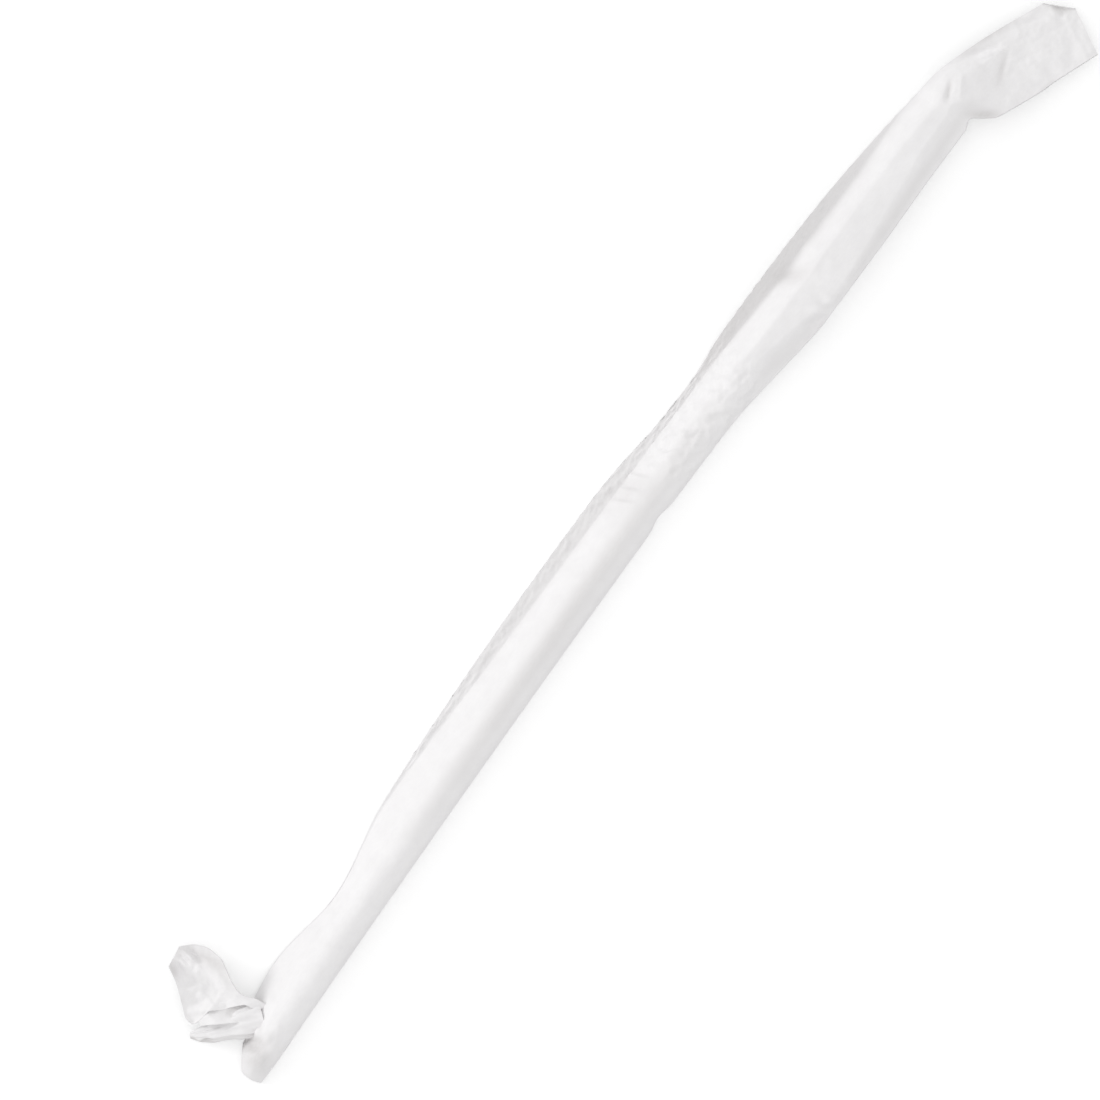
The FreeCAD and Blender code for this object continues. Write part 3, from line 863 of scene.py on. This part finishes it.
def leaf_place(share, part):
    """A point of the leaf as (along, across, up)."""
    left_x, left_y = smooth_row(LEAF_LEFT, part)
    right_x, right_y = smooth_row(LEAF_RIGHT, part)
    height, left_curl, right_curl = smooth_row(LEAF_HEIGHTS, part)
    along = left_x + (right_x - left_x) * share
    across = left_y + (right_y - left_y) * share
    aside = 2.0 * share - 1.0
    curl = left_curl if aside < 0.0 else right_curl
    spot = Vector((along, across))
    crumple = noise.noise(Vector((along * 0.55, across * 0.40, 21.0)))
    fine = noise.noise(Vector((along * 1.5, across * 1.1, 22.0)))
    loose = ease(0.15, 0.45, part)
    up = height + curl * abs(aside) ** 2.2 + summed(spot, LEAF_FOLDS)
    up += loose * (0.40 * crumple + 0.12 * fine)
    return along, across, max(LEAF_LEAST, min(LEAF_MOST, up))


# Painted shade on the leaf: its curled left tip, its darker right band and its folds.
LEAF_PAINTED_SHADE = [
    (4.6, 18.0, 5.8, 20.2, 0.55, 1.00),
    (9.9, 18.0, 10.2, 11.8, 1.25, 0.85),
    (9.4, 12.0, 8.6, 8.6, 0.70, 0.35),
    (6.6, 19.8, 10.0, 19.6, 0.70, 0.25),
    (0.8, 13.2, 3.4, 16.8, 0.60, 0.20),
]
leaf = paper_sheet("leaf", 110, 64, leaf_place, LEAF_PAINTED_SHADE)

# %% [markdown]
# ## The roll
#
# Below the leaf a strip of the same paper is rolled up tightly and pinched to a point. A roll is
# a thin tube again, with an oval section that narrows towards its tip, and long creases that run
# along it.

# %% The roll's sections
ROLL_SECTIONS = [
    (0.00, 7.6, 3.0, 2.4, 5.1, 2.5),
    (0.28, 4.9, 5.2, 2.5, 4.5, 2.4),
    (0.50, 2.9, 6.7, 2.1, 3.6, 2.0),
    (0.72, 0.8, 8.2, 1.7, 2.9, 1.8),
    (0.90, -0.8, 9.8, 1.4, 2.1, 1.4),
    (1.00, -1.6, 10.8, 1.3, 1.0, 0.8),
]
ROLL_HOLLOWS = [(0.80, 2.60, 0.06, 0.45, 0.60), (0.95, 2.60, 0.04, 0.55, 0.55)]


def roll_hollow(part, turn):
    """How deep the crushed roll is dented at a place, as a share of its radius."""
    return sum(
        deep * math.exp(-(((part - at) / long) ** 2) - ((turn - way) / wide) ** 2)
        for at, way, long, wide, deep in ROLL_HOLLOWS
    )


def roll_ring(part, around):
    """The ring's points as (along, across, up)."""
    along, across, height, width, thick = smooth_row(ROLL_SECTIONS, part)
    ahead = smooth_row(ROLL_SECTIONS, min(1.0, part + 0.02))
    behind = smooth_row(ROLL_SECTIONS, max(0.0, part - 0.02))
    run = Vector((ahead[0] - behind[0], ahead[1] - behind[1])).normalized()
    side = Vector((run.y, -run.x))
    points = []
    for number in range(around):
        turn = 2.0 * math.pi * number / around
        creases = noise.noise(Vector((math.cos(turn) * 1.7, math.sin(turn) * 1.7, part * 3.0)))
        pleats = noise.noise(Vector((math.cos(turn) * 4.0, math.sin(turn) * 4.0, part * 4.0)))
        swell = 1.0 + 0.30 * creases + 0.24 * pleats - roll_hollow(part, turn)
        reach = width / 2.0 * math.cos(turn) * swell
        up = height + thick / 2.0 * math.sin(turn) * swell
        points.append((along + side.x * reach, across + side.y * reach, max(0.05, up)))
    return points


print("roll tip at", [round(v, 1) for v in smooth_row(ROLL_SECTIONS, 1.0)[:2]])

# %% Make the roll
def make_roll(rings, around):
    """The crushed roll as one closed piece."""
    mesh, ring_tag, turn_tag = paper_tube(rings, around)
    placed = [roll_ring(number / (rings - 1), around) for number in range(rings)]
    plies_and_painted_shade = mesh.verts.layers.float.new("plies_and_painted_shade")
    for vert in mesh.verts:
        part = vert[ring_tag] / (rings - 1)
        turn = 2.0 * math.pi * vert[turn_tag] / around
        # Painted shade on the roll's low near side and in its dents.
        low = math.exp(-(((turn - 2.9) / 0.55) ** 2)) * (0.35 + 0.45 * ease(0.6, 0.8, part))
        vert[plies_and_painted_shade] = min(1.0, low + 1.2 * roll_hollow(part, turn))
        vert.co = in_frame(*placed[vert[ring_tag]][vert[turn_tag]])
    return finished_piece("roll", mesh)


roll = make_roll(rings=90, around=72)

# %% [markdown]
# ## The lip between leaf and roll
#
# A small lip of paper joins the leaf and the roll and catches the light. It is a second sheet
# that comes out of the roll and runs on under the leaf, with a shallow valley at its root.

# %% Make the lip
LIP_LEFT = [(0.00, 6.2, 4.0), (0.50, 3.4, 7.2), (1.00, 0.7, 10.3)]
LIP_RIGHT = [(0.00, 8.7, 6.2), (0.50, 6.2, 9.6), (1.00, 2.4, 12.3)]


def lip_place(share, part):
    """A point of the lip as (along, across, up)."""
    left_x, left_y = smooth_row(LIP_LEFT, part)
    right_x, right_y = smooth_row(LIP_RIGHT, part)
    along = left_x + (right_x - left_x) * share
    across = left_y + (right_y - left_y) * share
    crumple = noise.noise(Vector((along * 0.9, across * 0.7, 31.0)))
    bright = ease(0.42, 0.62, part)
    top = 3.3 + 0.5 * ease(0.15, 0.50, part) - 0.6 * ease(0.60, 1.0, part)
    dip = (0.5 - 0.2 * bright) * math.sin(math.pi * min(1.0, share / 0.9)) ** 1.5
    up = top - dip - 1.2 * share ** 2 + 0.20 * crumple
    return along, across, max(0.3, up)


# Painted shade along the dark valley at the lip's root.
LIP_PAINTED_SHADE = [(9.6, 5.8, 4.2, 8.5, 0.75, 0.90)]
lip = paper_sheet("lip", 56, 28, lip_place, LIP_PAINTED_SHADE)

# %% [markdown]
# ## Writing shader sums as plain Python
#
# Node links are hard to read in code. A small class wraps a socket, so that adding or multiplying
# two of them makes the Math node for it. Other nodes come from one method that takes the node's
# type, its settings and the values of its sockets.

# %% A socket that can be added and multiplied
class Value:
    """A node socket with plain operators."""

    def __init__(self, tree, socket):
        self.tree = tree
        self.socket = socket

    def node(self, kind, settings=None, out=0, **inputs):
        """Adds a node, sets it, fills its sockets and returns one of its outputs."""
        made = self.tree.nodes.new(kind)
        for name, value in (settings or {}).items():
            setattr(made, name, value)
        for name, value in inputs.items():
            key = int(name[1:]) if name[0] == "i" and name[1:].isdigit() else name.replace("_", " ")
            target = made.inputs[key]
            if isinstance(value, Value):
                self.tree.links.new(value.socket, target)
            else:
                target.default_value = value
        return Value(self.tree, made.outputs[out])

    def math(self, operation, first, second):
        """One Math node that joins two values."""
        return self.node("ShaderNodeMath", {"operation": operation}, i0=first, i1=second)

    def __add__(self, other):
        return self.math("ADD", self, other)

    __radd__ = __add__

    def __mul__(self, other):
        return self.math("MULTIPLY", self, other)

    __rmul__ = __mul__

    def __sub__(self, other):
        return self.math("SUBTRACT", self, other)

    def __rsub__(self, other):
        return self.math("SUBTRACT", other, self)


print("operators ready:", [name for name in ("__add__", "__mul__") if hasattr(Value, name)])

# %% [markdown]
# ## Thin white paper
#
# Wrapping paper is matt and nearly neutral. Close up it is cloudy, because its fibres clump, and
# along the pressed seam it is a shade greyer. The clouds come from noise on
# object coordinates, stretched along the straw as the fibres are, and the same noise gives a
# very low bump. The grey comes from the tag that each piece carries: the seam's own grey and
# painted shade in creases, hollows and on faces turned from the lamp.

# %% The sleeve's paper
CLOUD_DARK = (0.838, 0.826, 0.832, 1.0)
CLOUD_LIGHT = (0.906, 0.897, 0.901, 1.0)
# The grey for the pressed seam and for painted shade.
PLIES_AND_SHADE_GREY = (0.715, 0.700, 0.698, 1.0)


def paper_material(name):
    """Thin white paper, greyer along the pressed seam and where shade is painted in."""
    material = bpy.data.materials.new(name)
    material.use_nodes = True
    tree = material.node_tree
    tree.nodes.clear()
    start = Value(tree, None)
    place = start.node("ShaderNodeTexCoord", out="Object")
    fibres = place.node(
        "ShaderNodeMapping", {"vector_type": "POINT"}, Vector=place, Scale=(500.0, 1400.0, 1400.0)
    )
    clouds = place.node("ShaderNodeTexNoise", Vector=place, Scale=420.0, Detail=4.0)
    grain = place.node("ShaderNodeTexNoise", Vector=fibres, Scale=2.0, Detail=5.0)
    patches = place.node("ShaderNodeTexNoise", Vector=place, Scale=110.0, Detail=3.0)
    mottle = 0.45 * clouds + 0.30 * grain + 0.25 * patches
    spread = place.node("ShaderNodeMapRange", i0=mottle, i1=0.30, i2=0.70, i3=0.0, i4=1.0)
    body = place.node(
        "ShaderNodeMix",
        {"data_type": "RGBA"},
        out=2,
        i0=spread,
        i6=CLOUD_DARK,
        i7=CLOUD_LIGHT,
    )
    # The tag carries the seam's own grey and painted shade; both mix the paper toward this grey.
    plies_and_painted_shade = place.node("ShaderNodeAttribute", {"attribute_name": "plies_and_painted_shade"}, out="Fac")
    body = place.node(
        "ShaderNodeMix",
        {"data_type": "RGBA"},
        out=2,
        i0=plies_and_painted_shade * 0.55 + plies_and_painted_shade * grain * 0.70,
        i6=body,
        i7=PLIES_AND_SHADE_GREY,
    )
    roughness = 0.72 + 0.20 * mottle
    height = 0.6 * grain + 0.4 * clouds
    bump = place.node("ShaderNodeBump", Strength=0.18, Distance=0.12 * MM, Height=height)
    shader = place.node(
        "ShaderNodeBsdfPrincipled",
        Base_Color=body,
        Roughness=roughness,
        Normal=bump,
        Specular_IOR_Level=0.25,
    )
    output = tree.nodes.new("ShaderNodeOutputMaterial")
    tree.links.new(shader.socket, output.inputs["Surface"])
    return material


thin_paper = paper_material("thin_white_paper")
print("paper nodes:", len(thin_paper.node_tree.nodes))

# %% Dress the pieces and tie them to the frame
for piece in (sleeve, leaf, roll, lip):
    piece.data.materials.append(thin_paper)
    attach(piece, "root")
    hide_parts("wrapped_straw")

# %% [markdown]
# ## Floor, world and lamps
#
# The object lies on a plain white floor. The floor is an ordinary matt white to every ray, and
# to the camera and in reflections it glows a little on top, so that it reads as white and still
# keeps the object's shadow. The world is a soft pale light, and full white only where the camera
# sees it, directly or in a reflection.

# %% The floor
FLOOR_REACH = 6.0
FLOOR_COLOUR = (0.74, 0.74, 0.74, 1.0)
FLOOR_GLOW = 0.37


def make_floor():
    """A wide white floor just under the object."""
    mesh = bmesh.new()
    bmesh.ops.create_grid(mesh, x_segments=1, y_segments=1, size=FLOOR_REACH)
    data = bpy.data.meshes.new("floor")
    mesh.to_mesh(data)
    mesh.free()
    floor = bpy.data.objects.new("floor", data)
    bpy.context.scene.collection.objects.link(floor)
    material = bpy.data.materials.new("floor_white")
    material.use_nodes = True
    tree = material.node_tree
    tree.nodes.clear()
    start = Value(tree, None)
    seen = start.node("ShaderNodeLightPath", out="Is Camera Ray")
    glossy = start.node("ShaderNodeLightPath", out="Is Glossy Ray")
    matt = start.node("ShaderNodeBsdfDiffuse", Color=FLOOR_COLOUR)
    glow = start.node("ShaderNodeEmission", Strength=(seen + glossy) * FLOOR_GLOW)
    both = start.node("ShaderNodeAddShader", i0=matt, i1=glow)
    output = tree.nodes.new("ShaderNodeOutputMaterial")
    tree.links.new(both.socket, output.inputs["Surface"])
    data.materials.append(material)
    print("floor's width in m:", 2.0 * FLOOR_REACH)


make_floor()

# %% The world
WORLD_LEVEL = 0.90
WHITE = (1.0, 1.0, 1.0, 1.0)
world = bpy.data.worlds.new("studio")
bpy.context.scene.world = world
world.use_nodes = True
world.node_tree.nodes.clear()
sky = Value(world.node_tree, None)
direct = sky.node("ShaderNodeLightPath", out="Is Camera Ray")
mirrored = sky.node("ShaderNodeLightPath", out="Is Glossy Ray")
passed = sky.node("ShaderNodeLightPath", out="Is Transmission Ray")
shown = sky.node("ShaderNodeMath", {"operation": "MINIMUM"}, i0=direct + mirrored + passed, i1=1.0)
strength = WORLD_LEVEL + shown * (1.0 - WORLD_LEVEL)
back = sky.node("ShaderNodeBackground", Color=WHITE, Strength=strength)
world_output = world.node_tree.nodes.new("ShaderNodeOutputWorld")
world.node_tree.links.new(back.socket, world_output.inputs["Surface"])
print("world level:", WORLD_LEVEL)

# %% [markdown]
# ## The soft key lamp
#
# One broad lamp stands low on the far side of the straw, where the picture's left is. It lights
# the slope of the sleeve and leaves the near side to the world's soft light.

# %% A lamp that points at the straw
def soft_lamp(name, toward, height, distance, width, level):
    """An area lamp that gives about `level` of a plain white on a face turned to it."""
    lamp = bpy.data.lights.new(name, "AREA")
    lamp.shape = "DISK"
    lamp.size = width
    lamp.energy = level * math.pi ** 2 * distance ** 2
    stand = bpy.data.objects.new(name, lamp)
    aim = Vector((toward[0], toward[1], 0.0)).normalized() * math.cos(height)
    aim.z = math.sin(height)
    stand.location = aim * distance
    stand.rotation_euler = aim.to_track_quat("Z", "Y").to_euler()
    bpy.context.scene.collection.objects.link(stand)
    print(name, "energy:", round(lamp.energy, 2))


soft_lamp(
    "key", toward=(-0.35, 0.94), height=math.radians(15.0), distance=1.4, width=0.40, level=0.24
)

# %% [markdown]
# ## The camera
#
# The picture looks straight down and shows almost no perspective, so the camera stands high with
# a long lens. It is turned about the upright axis until the straw runs from the lower left of the
# picture to its upper right.

# %% The camera
PICTURE_WIDTH = 175.6 * MM
PICTURE_MIDDLE = (-3.7 * MM, 8.4 * MM)
STRAW_IN_PICTURE = (0.5856, 0.8106)
camera_data = bpy.data.cameras.new("camera")
camera_data.sensor_width = 36.0
camera_data.lens = 400.0
camera = bpy.data.objects.new("camera", camera_data)
height = PICTURE_WIDTH * camera_data.lens / camera_data.sensor_width
camera.location = (*PICTURE_MIDDLE, height)
camera.rotation_euler = (0.0, 0.0, -math.atan2(STRAW_IN_PICTURE[1], STRAW_IN_PICTURE[0]))
bpy.context.scene.collection.objects.link(camera)
bpy.context.scene.camera = camera
bpy.context.scene.view_settings.view_transform = "Standard"
print("camera height:", round(height, 3), "m")
